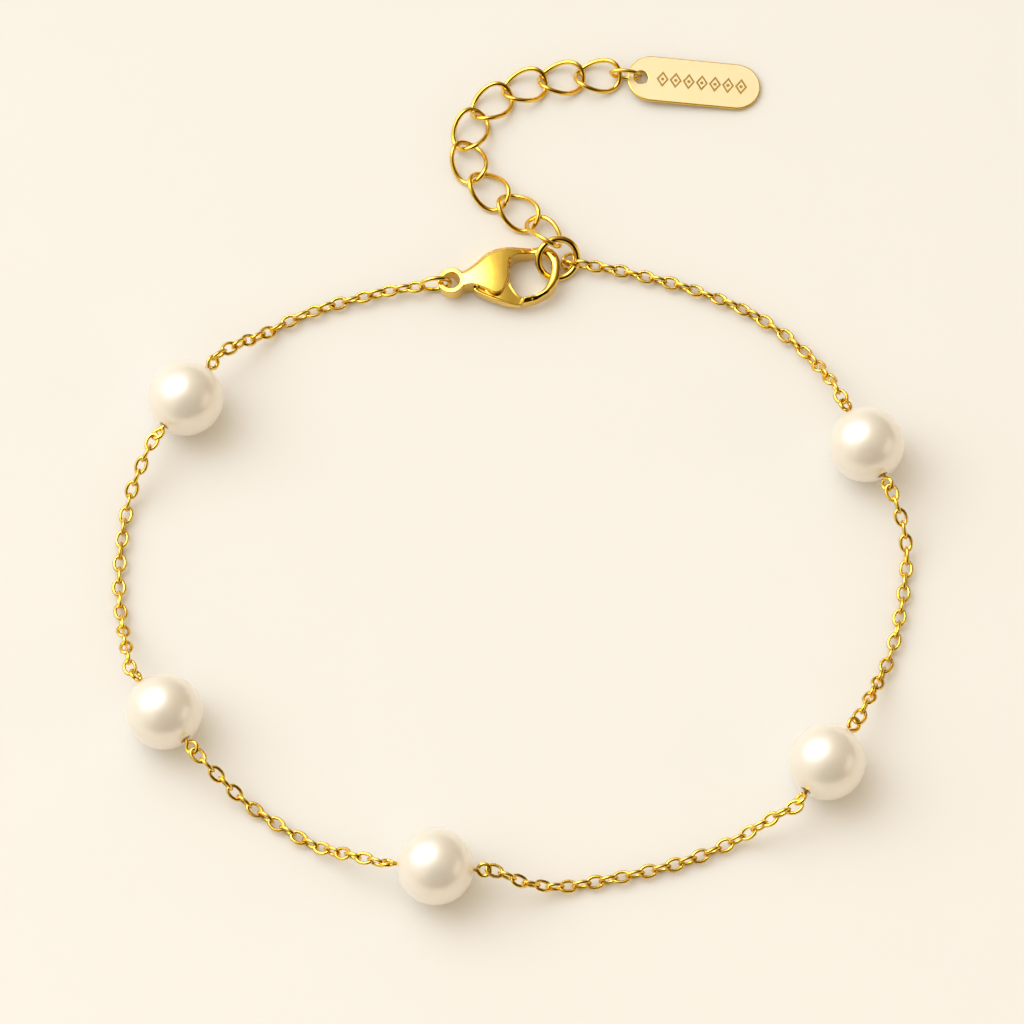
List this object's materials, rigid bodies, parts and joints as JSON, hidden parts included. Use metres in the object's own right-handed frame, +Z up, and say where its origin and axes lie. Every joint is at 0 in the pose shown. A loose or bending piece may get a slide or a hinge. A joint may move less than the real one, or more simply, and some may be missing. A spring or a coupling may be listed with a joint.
{
  "type": "pearl anklet",
  "caption": "Closed anklet of fine cable chain with round pearls on eye pins, a lobster clasp, an oval-link extension chain and a flat rounded tag.",
  "frame": {"origin": "on the surface the anklet lies on, under the centre of its box", "axes": "+Z up from the surface, +Y from the loop towards the extension chain and tag, +X to the right seen from above with the clasp at the far side"},
  "size_m": [0.0738, 0.0864, 0.007],
  "materials": {
    "pearl": "warm ivory nacre, soft satin gloss",
    "chain_gold": "yellow gold plating on fine steel chain, polished",
    "bright_gold": "yellow gold plating on steel, high polish",
    "tag_gold": "pale yellow gold plating, fine satin"
  },
  "bodies": {
    "anklet": {"pearl_1": "pearl", "pearl_2": "pearl", "pearl_3": "pearl", "pearl_4": "pearl", "pearl_5": "pearl", "pin_1": "bright_gold", "pin_2": "bright_gold", "pin_3": "bright_gold", "pin_4": "bright_gold", "pin_5": "bright_gold", "chain_1": "chain_gold", "chain_2": "chain_gold", "chain_3": "chain_gold", "chain_4": "chain_gold", "chain_5": "chain_gold", "chain_6": "chain_gold", "clasp_body": "bright_gold", "clasp_pivot": "bright_gold", "clasp_ring": "bright_gold", "end_ring": "bright_gold", "extender_link_1": "bright_gold", "extender_link_2": "bright_gold", "extender_link_3": "bright_gold", "extender_link_4": "bright_gold", "extender_link_5": "bright_gold", "extender_link_6": "bright_gold", "extender_link_7": "bright_gold", "extender_link_8": "bright_gold", "extender_link_9": "bright_gold", "tag_ring": "bright_gold", "tag": "tag_gold"},
    "lever": {"clasp_lever": "bright_gold"}
  },
  "joints": [
    {"name": "lever_hinge", "type": "hinge", "parent": "anklet", "child": "lever", "pos_m": [-0.00198, 0.01867, 0.00115], "axis": [0, 0, 1], "range_deg": [0, 22], "stiffness_Nm_per_rad": 0.0005, "springref_deg": -17.19}
  ]
}
